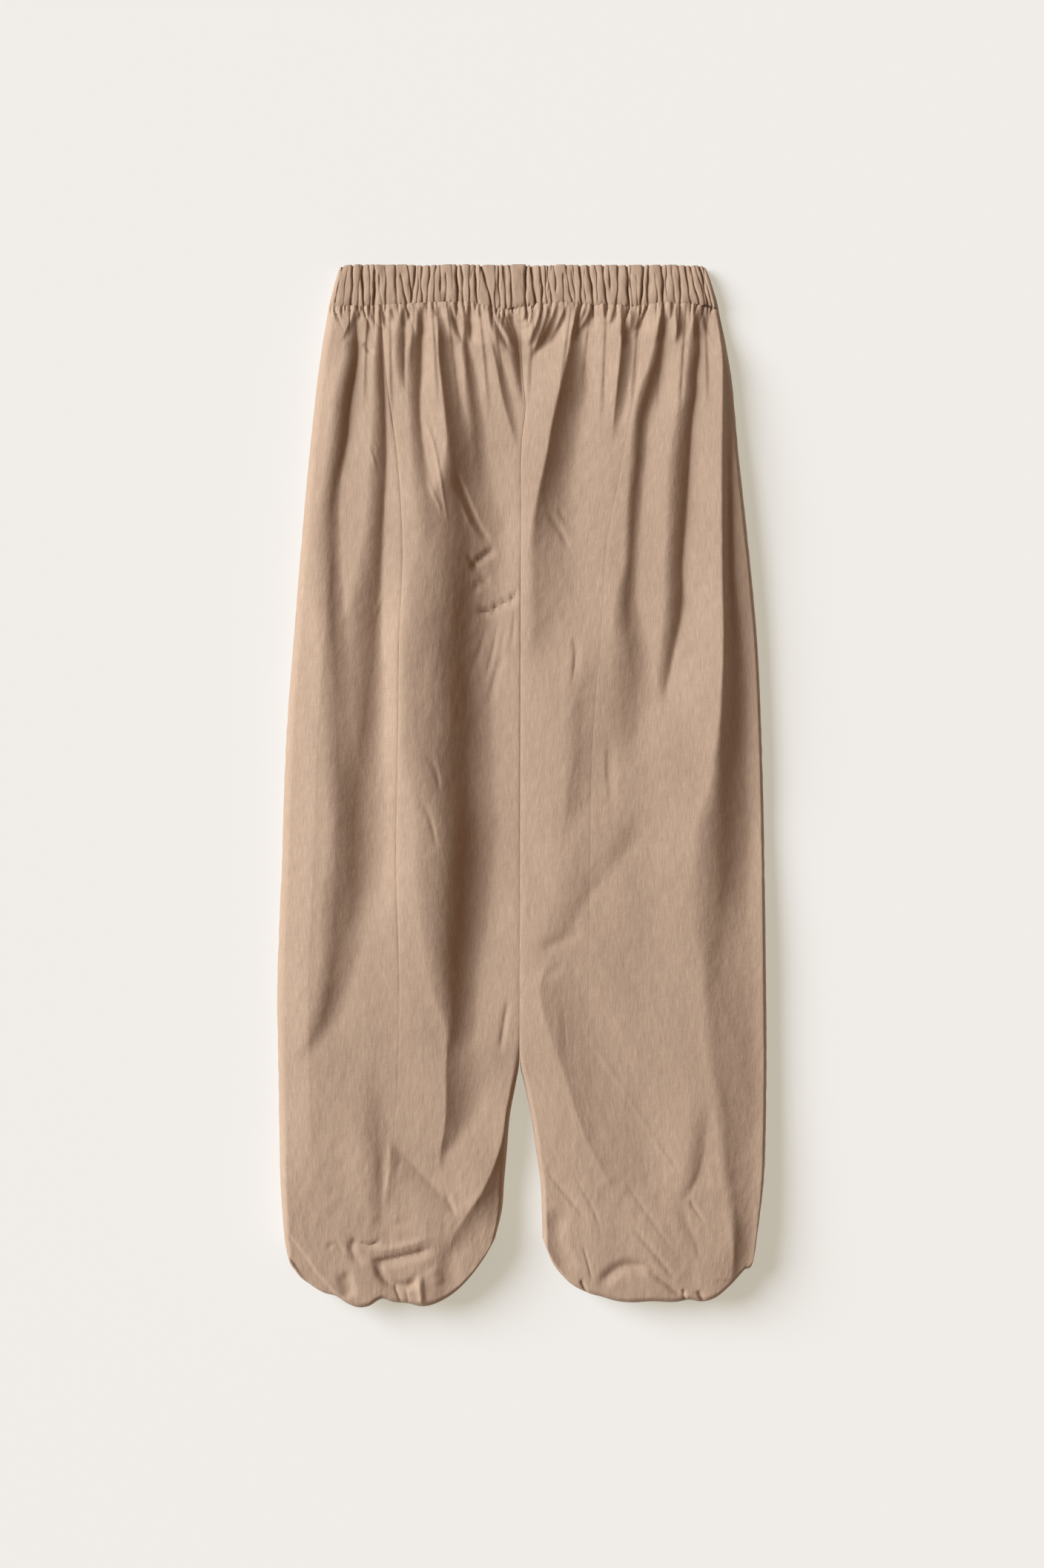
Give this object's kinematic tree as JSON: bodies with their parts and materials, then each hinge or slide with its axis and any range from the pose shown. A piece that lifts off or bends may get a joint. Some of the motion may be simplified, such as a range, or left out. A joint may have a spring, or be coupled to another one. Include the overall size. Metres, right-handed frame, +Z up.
{
  "type": "balloon pants",
  "caption": "Loose cotton balloon trousers laid flat on their back, with an elasticated gathered waistband and full legs turned in to gathered hem casings.",
  "frame": {"origin": "the middle of the garment's outline seen from above, on the surface that it lies on", "axes": "+Y towards the waistband, +Z up out of the visible front, +X to the right as seen from above"},
  "size_m": [0.451, 0.957, 0.0315],
  "materials": {
    "cotton": "plain-woven light cotton, fine vertical slub, softly creased, warm stone brown"
  },
  "bodies": {
    "root": {"waistband": "cotton", "front_left": "cotton", "side_back_left": "cotton", "hem_casing_left": "cotton", "front_right": "cotton", "side_back_right": "cotton", "hem_casing_right": "cotton"}
  },
  "joints": []
}
